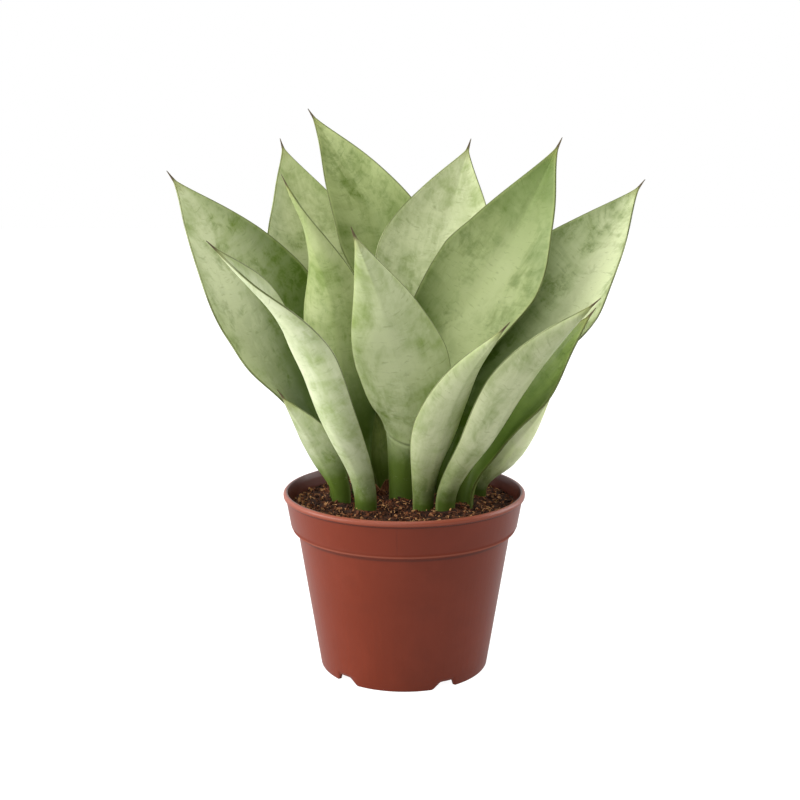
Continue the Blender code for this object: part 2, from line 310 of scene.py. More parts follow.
# --- materials ---
class Value:
    """A shader socket that takes part in arithmetic; each operation adds one Math node."""

    def __init__(self, finish, socket):
        self.finish = finish
        self.socket = socket

    def math(self, operation, *terms):
        return self.finish.node("ShaderNodeMath", {"operation": operation}, dict(enumerate(terms)))

    def __add__(self, other):
        return self.math("ADD", self, other)

    def __sub__(self, other):
        return self.math("SUBTRACT", self, other)

    def __rsub__(self, other):
        return self.math("SUBTRACT", other, self)

    def __mul__(self, other):
        return self.math("MULTIPLY", self, other)

    def __abs__(self):
        return self.math("ABSOLUTE", self)

    __radd__ = __add__
    __rmul__ = __mul__


class Finish:
    """The nodes of a material or of the air round the plant, built from expressions on Values."""

    def __init__(self, name):
        self.material = bpy.data.materials.new(name)
        self.material.use_nodes = True
        self.tree = self.material.node_tree
        self.shader = self.tree.nodes["Principled BSDF"]

    @classmethod
    def around(cls, world):
        """Nodes of a world instead of a material."""
        made = cls.__new__(cls)
        made.tree = world.node_tree
        return made

    def put(self, socket, value):
        """Link a Value to a socket, or set the socket's own value."""
        if isinstance(value, Value):
            self.tree.links.new(value.socket, socket)
        elif hasattr(value, "__len__") and len(value) == 3 and socket.type == "RGBA":
            socket.default_value = (*value, 1.0)
        else:
            socket.default_value = value

    def node(self, kind, settings=None, values=None, output=0):
        """Add a node: its settings first, then its sockets' values or links; returns one output."""
        made = self.tree.nodes.new(kind)
        for key, value in (settings or {}).items():
            setattr(made, key, value)
        for key, value in (values or {}).items():
            self.put(made.inputs[key], value)
        return Value(self, made.outputs[output])

    def parts(self, vector):
        """The three parts of a vector."""
        x = self.node("ShaderNodeSeparateXYZ", None, {0: vector})
        return [Value(self, socket) for socket in x.socket.node.outputs]

    def attribute(self, name):
        """The three parts of a vector stored on the mesh."""
        return self.parts(self.node("ShaderNodeAttribute", {"attribute_name": name}, output="Vector"))

    def number(self, name):
        """A number stored on the mesh."""
        return self.node("ShaderNodeAttribute", {"attribute_name": name}, output="Fac")

    def vector(self, x, y, z):
        return self.node("ShaderNodeCombineXYZ", None, {0: x, 1: y, 2: z})

    def noise(self, place, detail=2.0, roughness=0.5, distortion=0.0, scale=1.0):
        values = {"Vector": place, "Scale": scale, "Detail": detail, "Roughness": roughness,
                  "Distortion": distortion}
        return self.node("ShaderNodeTexNoise", None, values)

    def fade(self, value, low, high):
        """Smooth step from 0 where value is low to 1 where it is high."""
        values = {"Value": value, "From Min": low, "From Max": high}
        return self.node("ShaderNodeMapRange", {"interpolation_type": "SMOOTHSTEP"}, values)

    def spots(self, place, low, high, *noise):
        """Spots where the noise at a place goes from one level to another."""
        return self.fade(self.noise(self.vector(*place), *noise), low, high)

    def blend(self, a, b, factor):
        """Colour a turned towards colour b by a factor."""
        settings = {"data_type": "RGBA", "clamp_factor": True}
        return self.node("ShaderNodeMix", settings, {0: factor, 6: a, 7: b}, 2)

    def bump(self, height, strength, distance):
        values = {"Height": height, "Strength": strength, "Distance": distance}
        return self.node("ShaderNodeBump", None, values)

    def principled(self, **values):
        """Set or link the shader's sockets, named with _ for a space."""
        for key, value in values.items():
            self.put(self.shader.inputs[key.replace("_", " ")], value)
        return self.material


def leaf_finish(name, look, seed, settings):
    """Silvery leaf skin: soft clouds, faint cross dashes, fine stripes, a deep green foot with painted shade
    over it, dark margin.
    """
    light, deep, (band_place, band_half, band_strength), (shade_reach, shade_lean), tip_depth = look
    light = srgb(*light)
    deep = srgb(*deep)
    silver = tuple(mix(c, grey, 0.35) * 1.06 for c, grey in zip(light, srgb(*BLOOM_GREY)))
    f = Finish(name)
    across, run, edge = f.attribute("blade")
    u, share, side = f.attribute("span")
    layer = side * 40.0 + seed * 7.3

    warp = f.noise(f.vector(across * 0.06, run * 0.04, layer + 3.0), 3.0) * 9.0
    row = run + warp + u * u * -5.0
    bands = f.spots((across * 0.026, row * 0.11, layer), 0.42, 0.7, 3.0, 0.6, 0.4)
    patches = f.spots((across * 0.05, run * 0.03, layer + 11.0), 0.38, 0.7, 4.0, 0.62, 0.8)
    mottle = f.spots((across * 0.22, run * 0.16, layer + 13.0), 0.42, 0.7, 4.0, 0.7, 0.4)
    lines = f.spots((across * 0.17, row * 0.7, layer + 5.0), 0.58, 0.72, 3.0, 0.6, 0.3)
    stripes = f.noise(f.vector(across * 1.0, run * 0.02, layer + 17.0), 2.0, 0.5)
    specks = f.spots((across * 0.9, run * 1.3, layer + 23.0), 0.68, 0.76, 2.0, 0.6)
    bloom = f.spots((across * 0.07, run * 0.045, layer + 31.0), 0.42, 0.7, 3.0, 0.6)

    wavy = u + (patches - 0.5) * 0.24 - band_place
    band = f.fade(abs(wavy), band_half, 0.0) * f.fade(share, 0.2, 0.5) * f.fade(share, 0.92, 0.62)
    depth = bands * 0.3 + patches * 0.56 + mottle * 0.26 + (stripes - 0.5) * 0.2 + 0.02
    colour = f.blend(light, deep, depth - band * band_strength)
    colour = f.blend(colour, silver, bloom * (0.44 - side * 0.16) + band * 0.6 * band_strength)
    colour = f.blend(colour, tuple(c * 0.62 for c in deep), lines * 0.26 + specks * 0.3)

    colour = f.blend(colour, deep, f.fade(share, 0.55, 0.95) * tip_depth)
    # Painted shade: the lower part of each leaf turns dark green, higher up on the leaves further back, with
    # a ragged fringe; partly the leaf's own deep foot, partly painted shadow between the leaves.
    ragged_low = min(1.0, shade_reach * 3.0)
    low = share + ((patches - 0.5) * 0.1 + (mottle - 0.5) * 0.08) * ragged_low + u * shade_lean
    reach = f.fade(low, shade_reach, shade_reach * 0.25)
    shade_fringe = f.fade(low, shade_reach + 0.3, shade_reach) * mottle * patches
    colour = f.blend(colour, srgb(*FOOT_AND_SHADE_GREEN), reach * 0.92 + shade_fringe * 0.5)
    ragged = f.noise(f.vector(across * 0.2, run * 0.06, layer + 41.0), 3.0, 0.6) * 16.0
    foot_top = settings.foot_height / MM
    stalk = f.fade(run + ragged + patches * 10.0, foot_top + 36.0, 6.0)
    colour = f.blend(colour, srgb(*STALK_GREEN), stalk * 0.74 + stalk * mottle * 0.24)
    foot = f.fade(run + ragged * 0.5 + patches * 5.0, foot_top + 9.0, 2.0)
    colour = f.blend(colour, tuple(settings.foot_colour), foot * 0.84)
    scuff_line = f.fade(abs(run + ragged * 0.1 - 10.0), 1.0, 0.2)
    scuffs = f.spots((across * 1.6, run * 1.6, layer + 47.0), 0.6, 0.7, 2.0)
    colour = f.blend(colour, silver, scuff_line * scuffs * 0.35)

    colour = f.blend(colour, srgb(*EDGE_GREEN), f.fade(edge, 2.4, 1.0) * 0.16)
    margin = settings.margin_width / MM
    broken = f.spots((u * 3.0, run * 0.05, layer + 53.0), 0.35, 0.6, 2.0) * 0.5 + 0.45
    outline = f.fade(edge, margin * 1.2, margin * 0.8) * broken
    colour = f.blend(colour, tuple(settings.margin_colour), outline)
    tip = f.number("to_tip")
    colour = f.blend(colour, srgb(*TIP_GREEN), f.fade(tip, 15.0, 7.5) * 0.5)
    colour = f.blend(colour, tuple(settings.point_colour), f.fade(tip, 7.5, 4.0))

    rough = settings.leaf_roughness + (stripes - 0.5) * 0.12 + lines * 0.08 - foot * 0.08
    relief = stripes * 0.5 - specks * 0.5 - lines * 0.3 + mottle * 0.3
    return f.principled(
        Base_Color=colour, Roughness=rough, Specular_IOR_Level=0.24,
        Normal=f.bump(relief, 0.3, 0.00025),
    )


def pot_finish(settings):
    """Moulded plastic: a satin skin with faint clouding, fine upright drag lines and a few scuffs, painted
    shade inside and in two thin lines, and painted highlights on the band's foot and the lip.
    """
    f = Finish("terracotta_plastic")
    turn, height, inside = f.attribute("wall")
    bead_z = POT_HEIGHT - BEAD_HEIGHT
    place = f.node("ShaderNodeTexCoord", output="Object")
    x, y, z = f.parts(place)
    clouds = f.noise(place, 4.0, 0.6, 0.5, 26.0)
    blotches = f.noise(place, 2.0, 0.5, 0.0, 75.0)
    grain = f.noise(place, 2.0, 0.6, 0.0, 1500.0)
    drag = f.noise(f.vector(x * 700.0, y * 700.0, z * 16.0), 3.0, 0.6)
    colour = tuple(settings.pot_colour)
    pale = tuple(c * 1.2 + 0.003 for c in colour)
    dark = tuple(c * 0.82 for c in colour)
    base = f.blend(colour, pale, f.fade(clouds, 0.45, 0.7) * 0.5)
    base = f.blend(base, dark, f.fade(blotches, 0.5, 0.75) * 0.3 + (drag - 0.5) * 0.3)
    scuffs = f.spots((x * 300.0, y * 300.0, z * 900.0), 0.7, 0.76, 4.0, 0.7)
    base = f.blend(base, srgb(*SCUFF_COLOUR), scuffs * 0.25)
    seam = f.fade(abs(turn - SEAM_TURN), 0.5, 0.1) * f.fade(height, BAND_FOOT_Z, BAND_FOOT_Z + 1.0)
    base = f.blend(base, dark, seam * 0.4)
    # Painted shade: the inside wall darkened.
    base = f.blend(base, srgb(*INSIDE_SHADE_COLOUR), f.fade(inside, 0.4, 0.6) * 0.6)
    outer = f.fade(inside, 0.6, 0.4)
    # Painted shade: dark lines just below the shoulder and under the bead.
    crease = f.fade(abs(height - SHOULDER_Z + 1.0), 0.9, 0.1)
    under_bead_shade = f.fade(abs(height - bead_z + 0.2), 0.7, 0.1)
    base = f.blend(base, srgb(*CREASE_SHADE_COLOUR), (crease * 0.6 + under_bead_shade * 0.7) * outer)
    # Painted highlight: a pale line at the foot of the band.
    step = f.fade(abs(height - BAND_FOOT_Z + 0.7), 0.8, 0.2)
    base = f.blend(base, srgb(*STEP_HIGHLIGHT_COLOUR), step * outer * 0.45)
    # Painted highlight: a pale line along the top of the bead.
    lip_highlight = f.fade(height, bead_z + 0.4, bead_z + 1.2) * outer
    base = f.blend(base, srgb(*LIP_HIGHLIGHT_COLOUR), lip_highlight * 0.35)
    rough = settings.pot_roughness + (clouds - 0.5) * 0.14 + (drag - 0.5) * 0.08 + scuffs * 0.1
    above = f.fade(height, SHOULDER_Z - 0.5, SHOULDER_Z)
    below = f.fade(height, BAND_FOOT_Z + 2.0, BAND_FOOT_Z)
    rough = rough + above * below * 0.5
    relief = grain * 0.3 + clouds * 2.0 + drag * 0.8 - seam * 1.2
    return f.principled(
        Base_Color=base, Roughness=rough, Specular_IOR_Level=0.32,
        Normal=f.bump(relief, 0.25, 0.00012),
    )


def soil_finish(settings, name, paleness, roughness):
    """Potting mix: dark damp peat through to pale dry coir, set by each bit's own tone."""
    f = Finish(name)
    place = f.node("ShaderNodeTexCoord", output="Object")
    tone = f.number("tone")
    grit = f.noise(place, 4.0, 0.7, 0.0, 420.0)
    clumps = f.noise(place, 2.0, 0.5, 0.0, 90.0)
    amount = tone * paleness + (grit - 0.5) * 0.5 + (clumps - 0.5) * 0.3
    colour = f.blend(tuple(settings.soil_dark), srgb(*MIDDLE_SOIL), f.fade(amount, 0.1, 0.5))
    colour = f.blend(colour, tuple(settings.soil_pale), f.fade(amount, 0.5, 0.95))
    return f.principled(
        Base_Color=colour, Roughness=roughness, Specular_IOR_Level=0.3,
        Normal=f.bump(grit + clumps * 0.5, 0.6, 0.0006),
    )


# --- meshes ---
def add_piece(name, points, faces, attributes=None, sharp_angle=None):
    """Make a smooth shaded mesh object from points in millimetres and faces of point numbers."""
    mesh = bpy.data.meshes.new(name)
    mesh.from_pydata((np.asarray(points) * MM).tolist(), [], faces)
    for key, values in (attributes or {}).items():
        values = np.asarray(values, dtype=np.float32)
        kind, slot = ("FLOAT", "value") if values.ndim == 1 else ("FLOAT_VECTOR", "vector")
        mesh.attributes.new(key, kind, "POINT").data.foreach_set(slot, values.ravel())
    mesh.shade_smooth()
    if sharp_angle is not None:
        mesh.set_sharp_from_angle(angle=math.radians(sharp_angle))
    mesh.validate()
    made = bpy.data.objects.new(name, mesh)
    bpy.context.scene.collection.objects.link(made)
    return made


def add_bake_map(made, chart):
    """Give a mesh the map that its finish is baked through: chart(points of one face) -> corners."""
    layer = made.data.uv_layers.new(name="OFBake")
    for polygon in made.data.polygons:
        corners = chart(list(polygon.vertices))
        for loop, corner in zip(polygon.loop_indices, corners):
            layer.data[loop].uv = corner


def finish_piece(made, material, node):
    """Give a piece its material, fix it to the plant and let it stand for its solid."""
    made.data.materials.append(material)
    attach(made, "root")
    if node:
        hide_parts(node)


def leaf_line(foot, low, high, tip):
    """Middle line of a leaf as closely spaced points, and the distance run at each."""
    knots = [np.array((foot[0], foot[1], SOIL_Z + COLLAR))]
    for x, y, height in (low, high, tip):
        knots.append(np.array((x, y, SOIL_Z + height)))
    steps = [np.linalg.norm(b - a) for a, b in zip(knots, knots[1:])]
    chords = [(b - a) / step for a, b, step in zip(knots, knots[1:], steps)]
    slopes = [np.array((0.0, 0.0, 1.0))]
    for i in (1, 2):
        slopes.append(mix(chords[i - 1], chords[i], steps[i - 1] / (steps[i - 1] + steps[i])))
    slopes.append(1.5 * chords[2] - 0.5 * slopes[2])
    points = []
    for i, step in enumerate(steps):
        for t in np.linspace(0.0, 1.0, 40, endpoint=False):
            bend = slopes[i] * (t**3 - 2 * t**2 + t) + slopes[i + 1] * (t**3 - t**2)
            points.append(mix(knots[i], knots[i + 1], ease(t)) + bend * step)
    points.append(knots[3])
    points = np.array(points)
    run = np.concatenate([[0.0], np.cumsum(np.linalg.norm(np.diff(points, axis=0), axis=1))])
    return points, run


def leaf_half_width(share, length, foot_half, belly_half, belly):
    """Half width of a leaf at a share of its length above the soil."""
    point_start = 1.0 - POINT_LENGTH / length
    if share >= point_start:
        along_point = (share - point_start) / (1.0 - point_start)
        return mix(POINT_HALF_WIDTH, POINT_END_HALF_WIDTH, along_point**0.7)
    share = share / point_start
    if share < belly:
        return mix(foot_half, belly_half, ease(share / belly))
    t = (share - belly) / (1.0 - belly)
    return mix(POINT_HALF_WIDTH, belly_half, (1.0 - t**1.5) ** 1.15)


def leaf_shares(length, crease):
    """Where a leaf's rows stand, closer together at its foot and tip and across a crease."""
    even = np.linspace(0.0, 1.0, LEAF_ROWS)
    shares = mix(even, 0.5 - 0.5 * np.cos(np.pi * even), 0.6)
    if crease:
        extra = (CREASE_HEIGHT + np.arange(-6.0, 6.01, 0.5)) / length
        shares = np.unique(np.round(np.concatenate([shares, extra]), 5))
    return shares


def leaf_body(recipe, seed, crease):
    """Points of a leaf's rings with, for each, its place on the blade and its place on the skins."""
    foot, low, high, tip, foot_half, belly_half, belly, facing, hollow = recipe
    line, distance = leaf_line(foot, low, high, tip)
    length = distance[-1]
    shares = leaf_shares(length, crease)
    run = shares * length

    def at(wanted):
        return np.stack([np.interp(wanted, distance, line[:, k]) for k in range(3)], axis=-1)

    centre = at(run)
    along = at(run + 1.0) - at(run - 1.0)
    along[0] = (0.0, 0.0, 1.0)
    along = unit(along)
    first_turn = ease(np.clip(shares * 2.0, 0.0, 1.0)) * (facing[1] - facing[0])
    last_turn = ease(np.clip(shares * 2.0 - 1.0, 0.0, 1.0)) * (facing[2] - facing[1])
    turn = np.radians(facing[0] + first_turn + last_turn)
    face = np.stack([np.cos(turn), np.sin(turn), np.zeros_like(turn)], axis=-1)
    face = unit(face - along * np.sum(face * along, axis=-1, keepdims=True))
    side = np.cross(along, face)
    half = np.array([leaf_half_width(s, length, foot_half, belly_half, belly) for s in shares])
    arc = np.radians(mix(hollow[0], hollow[1], ease(np.clip(shares / 0.4, 0.0, 1.0))))
    radius = (half / arc)[:, None, None]
    thick = np.minimum(mix(LEAF_THICK, LEAF_TIP_THICK, shares), 1.2 * half)

    u = np.linspace(-1.0, 1.0, LEAF_COLUMNS)
    a = (arc[:, None] * u)[..., None]
    face = face[:, None]
    side = side[:, None]
    normal = face * np.cos(a) - side * np.sin(a)
    tangent = side * np.cos(a) + face * np.sin(a)
    middle = centre[:, None] + side * radius * np.sin(a) + face * radius * (1.0 - np.cos(a))
    middle = middle + normal * leaf_relief(run, u, half, length, seed, crease)[..., None]
    middle = middle * (LEAF_SPREAD, LEAF_SPREAD, 1.0)
    depth = mix(thick[:, None], np.minimum(thick, LEAF_EDGE_THICK)[:, None], u * u)[..., None] / 2.0
    across = half[:, None] * u
    edge = half[:, None] * (1.0 - np.abs(u))

    def place(points, across, edge, u, side_value):
        rows = np.broadcast_to(run[:, None], across.shape)
        blade = np.stack([across, rows, edge], axis=-1)
        span = np.stack([np.broadcast_to(u, across.shape), rows / length,
                         np.full(across.shape, side_value)], axis=-1)
        return points, blade, span

    rim_depth = depth[:, 0]
    edge = edge + rim_depth * math.pi / 2.0
    columns = [place(middle + normal * depth, across, edge, u, 1.0)]
    for end, order in ((-1, (45, 90, 135)), (0, (135, 90, 45))):
        outwards = tangent[:, end] * (1 if end else -1)
        round_edge, from_edge = [], []
        for degrees in order:
            angle = math.radians(degrees)
            turned = normal[:, end] * math.cos(angle) + outwards * math.sin(angle)
            round_edge.append(middle[:, end] + rim_depth * turned)
            from_edge.append(rim_depth[:, 0] * abs(math.pi / 2.0 - angle))
        flat = np.repeat(across[:, [end]], 3, axis=1)
        round_edge = np.stack(round_edge, axis=1)
        from_edge = np.stack(from_edge, axis=1)
        columns.append(place(round_edge, flat, from_edge, u[[end] * 3], 0.5))
    back = (middle - normal * depth)[:, ::-1]
    columns.insert(2, place(back, across[:, ::-1], edge[:, ::-1], u[::-1], 0.0))
    points, blade, span = (np.concatenate(parts, axis=1) for parts in zip(*columns))
    for drop in (BURIED / 2.0, BURIED):
        buried = points[[0]] * (1.0, 1.0, 0.0) + (0.0, 0.0, SOIL_Z + COLLAR - drop)
        points = np.concatenate([buried, points])
        blade = np.concatenate([blade[[0]] - (0.0, drop / 2.0, 0.0), blade])
        span = np.concatenate([span[[0]], span])
    return points, blade, span, length


def leaf_relief(run, u, half, length, seed, crease):
    """How far the middle surface stands off its plain cupped shape, in millimetres."""
    rng = random.Random(seed)
    rows = run[:, None]
    shares = rows / length
    settle = ease(np.clip(shares / 0.2, 0.0, 1.0)) * ease(np.clip((1.0 - shares) / 0.2, 0.0, 1.0))
    relief = -0.35 * np.exp(-((u / 0.13) ** 2)) * settle
    swell = min(1.0, half.max() / 24.0)
    for _ in range(5):
        wave = rng.uniform(28.0, 70.0)
        slant = rng.uniform(-0.9, 0.9)
        phase = rng.uniform(0.0, 2.0 * math.pi)
        ripple = np.sin(2.0 * math.pi * rows / wave + slant * u * 3.0 + phase)
        relief = relief + 0.10 * swell * settle * ripple
    for sign in (-1.0, 1.0):
        wave = rng.uniform(34.0, 58.0)
        phase = rng.uniform(0.0, 2.0 * math.pi)
        ruffle = np.sin(2.0 * math.pi * rows / wave + phase)
        relief = relief + 0.45 * swell * settle * ruffle * np.clip(sign * u, 0.0, 1.0) ** 3
    if crease:
        bow = CREASE_HEIGHT + 1.8 * u * u
        relief = relief + CREASE_DEPTH * np.exp(-(((rows - bow) / 0.8) ** 2))
        relief = relief - 0.25 * np.exp(-(((rows - bow - 2.0) / 1.4) ** 2))
    return relief


def ring_faces(rows, columns):
    """Quads of a tube of rings, and the two fans of quads that close it."""
    faces = []
    for row in range(rows - 1):
        for column in range(columns):
            n = (column + 1) % columns
            base = row * columns
            faces.append((base + column, base + n, base + n + columns, base + column + columns))
    for row, flip in ((0, True), (rows - 1, False)):
        base = row * columns
        for i in range(columns // 2 - 1):
            quad = (base + i, base + i + 1, base + columns - 2 - i, base + columns - 1 - i)
            faces.append(quad[::-1] if flip else quad)
    return faces


def build_leaf(name, settings):
    """Make one leaf in place of its solid."""
    seed = list(LEAVES).index(name) + 1
    points, blade, span, length = leaf_body(LEAVES[name], seed, name == "leaf_front")
    rows, columns = points.shape[:2]
    attributes = {
        "blade": blade.reshape(-1, 3),
        "span": span.reshape(-1, 3),
        "to_tip": (length - blade[..., 1]).ravel(),
    }
    faces = ring_faces(rows, columns)
    made = add_piece(name + "_blade", points.reshape(-1, 3), faces, attributes, SKIN_SHARP_ANGLE)

    def chart(corners):
        ring = [c % columns for c in corners]
        row = [c // columns for c in corners]
        if max(row) == min(row):
            at_tip = 0.99 * (row[0] > 0)
            return [(0.995 + 0.004 * (k in (1, 2)), at_tip + 0.004 * (k > 1)) for k in range(4)]
        wraps = max(ring) == columns - 1 and min(ring) == 0
        ring = [columns if wraps and c == 0 else c for c in ring]
        return [(0.99 * c / columns, 0.005 + 0.98 * r / (rows - 1)) for c, r in zip(ring, row)]

    add_bake_map(made, chart)
    top = max(v.co.z for v in made.data.vertices)
    if abs(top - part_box(name)[1].z) > 4.0 * MM:
        raise RuntimeError(f"{name} no longer follows its solid in the frame")
    material = leaf_finish(name + "_skin", LEAF_LOOKS[name], seed, settings)
    finish_piece(made, material, name)


def lathe_profile():
    """The pot's outline as (radius, height, corner radius, inside), up the outside and down the inside."""
    under = [
        (BOSS_RADIUS, 0.0, 0.5, 0),
        (BOSS_RADIUS + 1.0, CHANNEL_HEIGHT, 0.5, 0),
        (FOOT_RADIUS - WALL + 0.3, CHANNEL_HEIGHT, 0.5, 0),
        (FOOT_RADIUS - WALL, 0.0, 0.3, 0),
        (FOOT_RADIUS, 0.0, 0.6, 0),
    ]
    outside = [
        (mix(FOOT_RADIUS, BODY_TOP_RADIUS, 5.0 / SHOULDER_Z), 5.0, 0.3, 0),
        (mix(FOOT_RADIUS, BODY_TOP_RADIUS, 6.0 / SHOULDER_Z), 6.0, 0.3, 0),
        (BODY_TOP_RADIUS - 0.1, SHOULDER_Z - 0.8, 0.3, 0),
        (BODY_TOP_RADIUS, SHOULDER_Z - 0.25, 0.1, 0),
        (BODY_TOP_RADIUS + 0.35, SHOULDER_Z, 0.15, 0),
        (BAND_FOOT_RADIUS - 0.9, BAND_FOOT_Z - 1.2, 1.0, 0),
        (BAND_FOOT_RADIUS, BAND_FOOT_Z + 0.8, 2.0, 0),
        (BAND_TOP_RADIUS, POT_HEIGHT - BEAD_HEIGHT, 0.4, 0),
        (RIM_RADIUS - 0.1, POT_HEIGHT - BEAD_HEIGHT + 0.4, 0.7, 0),
        (RIM_RADIUS, POT_HEIGHT - 1.0, 0.9, 0),
        (RIM_RADIUS - 0.9, POT_HEIGHT, 0.7, 0),
        (RIM_RADIUS - 2.1, POT_HEIGHT - 0.1, 0.6, 1),
    ]
    lean = BODY_TAPER / SHOULDER_Z
    floor = CHANNEL_HEIGHT + WALL
    inside = [
        (BAND_TOP_RADIUS - WALL, POT_HEIGHT - BEAD_HEIGHT, 1.0, 1),
        (BAND_FOOT_RADIUS - WALL, BAND_FOOT_Z - 0.8, 1.0, 1),
        (BODY_TOP_RADIUS - WALL, SHOULDER_Z, 1.0, 1),
        (FOOT_RADIUS - WALL + lean * floor, floor, 0.8, 1),
        (BOSS_RADIUS - WALL + 1.0, floor, 0.5, 1),
        (BOSS_RADIUS - WALL, WALL, 0.5, 1),
    ]
    return [(0.0, 0.0, 0.0, 0)] + under + outside + inside + [(0.0, WALL, 0.0, 1)]


def rounded(profile, steps=5):
    """Profile as (radius, height, inside), each corner replaced by an arc of its own radius."""
    made = [(*profile[0][:2], profile[0][3])]
    for before, here, after in zip(profile, profile[1:], profile[2:]):
        corner = np.array(here[:2])
        back = np.array(before[:2]) - corner
        on = np.array(after[:2]) - corner
        reach = min(np.linalg.norm(back), np.linalg.norm(on)) * 0.45
        back = unit(back)
        on = unit(on)
        half = math.acos(max(-1.0, min(1.0, float(back.dot(on))))) / 2.0
        trim = min(here[2] / math.tan(half), reach) if half > 0.05 else reach
        for t in np.linspace(0.0, 1.0, steps):
            point = corner + back * trim * (1.0 - t) ** 2 + on * trim * t**2
            made.append((float(point[0]), float(point[1]), here[3]))
    made.append((*profile[-1][:2], profile[-1][3]))
    return made


def notch_lift(turn):
    """Height of the pot's lower edge at a turn in degrees: notches, each with a long and a short slope."""
    spacing = 360.0 / NOTCH_COUNT
    past = (turn - NOTCH_CENTRE + spacing / 2.0) % spacing - spacing / 2.0
    front = NOTCH_CENTRE + spacing / 2.0
    beyond_front = (turn - past - front) % 360.0 < 180.0
    towards_front = -past if beyond_front else past
    end, slope_run = NOTCH_LONG_SLOPE if towards_front > 0.0 else NOTCH_SHORT_SLOPE
    return NOTCH_HEIGHT * min(1.0, max(0.0, (end - abs(towards_front)) / slope_run))


def build_pot(settings):
    """Make the pot in place of its solid."""
    profile = rounded(lathe_profile())
    points, wall, faces = [], [], []
    for radius, z, inner in profile:
        at_foot = z < 1.0 and radius > FOOT_RADIUS - WALL - 0.5 and not inner
        for column in range(POT_SEGMENTS):
            turn = NOTCH_CENTRE + 360.0 * column / POT_SEGMENTS
            a = math.radians(turn)
            lift = notch_lift(turn) * (1.0 - z / 4.0) if at_foot else 0.0
            points.append((radius * math.cos(a), radius * math.sin(a), z + lift))
            wall.append((a * RIM_RADIUS, z, inner))
    for row in range(len(profile) - 1):
        for column in range(POT_SEGMENTS):
            n = (column + 1) % POT_SEGMENTS
            base = row * POT_SEGMENTS
            faces.append((base + column, base + n, base + n + POT_SEGMENTS, base + column + POT_SEGMENTS))
    made = add_piece("nursery_pot", points, faces, {"wall": wall}, POT_SHARP_ANGLE)
    weld_axis(made)
    length = sum(math.dist(a[:2], b[:2]) + 0.05 for a, b in zip(profile, profile[1:]))
    add_lathe_map(made, length)
    finish_piece(made, pot_finish(settings), "pot")


def weld_axis(made):
    """Join the points of a lathed mesh that meet on its axis."""
    bm = bmesh.new()
    bm.from_mesh(made.data)
    ends = [v for v in bm.verts if math.hypot(v.co.x, v.co.y) < 1e-6]
    bmesh.ops.remove_doubles(bm, verts=ends, dist=1e-6)
    bmesh.ops.recalc_face_normals(bm, faces=bm.faces)
    bm.to_mesh(made.data)
    bm.free()
    made.data.set_sharp_from_angle(angle=math.radians(POT_SHARP_ANGLE))


def add_lathe_map(made, total):
    """Bake map of a lathed mesh: turn across, distance along the profile upwards."""
    layer = made.data.uv_layers.new(name="OFBake")
    wall = made.data.attributes["wall"].data
    for polygon in made.data.polygons:
        places = [made.data.vertices[v].co for v in polygon.vertices]
        turns = [math.atan2(place.y, place.x) for place in places]
        wraps = max(turns) - min(turns) > math.pi
        for loop, vertex, place, turn in zip(polygon.loop_indices, polygon.vertices, places, turns):
            turn = turn + 2.0 * math.pi if wraps and turn < 0.0 else turn
            _, z, inner = wall[vertex].vector
            radius = math.hypot(place.x, place.y) / MM
            along = radius + z
            if inner:
                along = total / 2.0 + (POT_HEIGHT - z) + (RIM_RADIUS - radius)
            across = 0.5 + turn / (2.0 * math.pi) * 0.49
            layer.data[loop].uv = (across, min(0.999, along / (total * 1.05)))


def soil_ground(x, y, feet):
    """Height of the soil's surface at a place: gently uneven, and heaped against each leaf's foot."""
    lumps = noise.fractal((x * 0.09, y * 0.09, 2.0), 0.8, 2.0, 4) * 0.9
    crumbs = noise.noise((x * 0.62, y * 0.62, 7.0)) * 0.45 + noise.noise((x * 1.4, y * 1.4, 1.0)) * 0.22
    heap = sum(1.5 * math.exp(-((x - fx) ** 2 + (y - fy) ** 2) / 46.0) for fx, fy in feet)
    return SOIL_Z - 0.5 + lumps + crumbs + min(heap, 2.2)


def soil_edge(z):
    """Inner radius of the pot's wall at a height near the soil's surface."""
    low = BAND_FOOT_RADIUS - WALL
    high = BAND_TOP_RADIUS - WALL
    return mix(low, high, (z - BAND_FOOT_Z) / (BAND_HEIGHT - BEAD_HEIGHT)) - SOIL_GAP


def circle(radius, z, count):
    """Points spaced evenly round a level circle."""
    turns = [2.0 * math.pi * i / count for i in range(count)]
    return [(radius * math.cos(a), radius * math.sin(a), z) for a in turns]


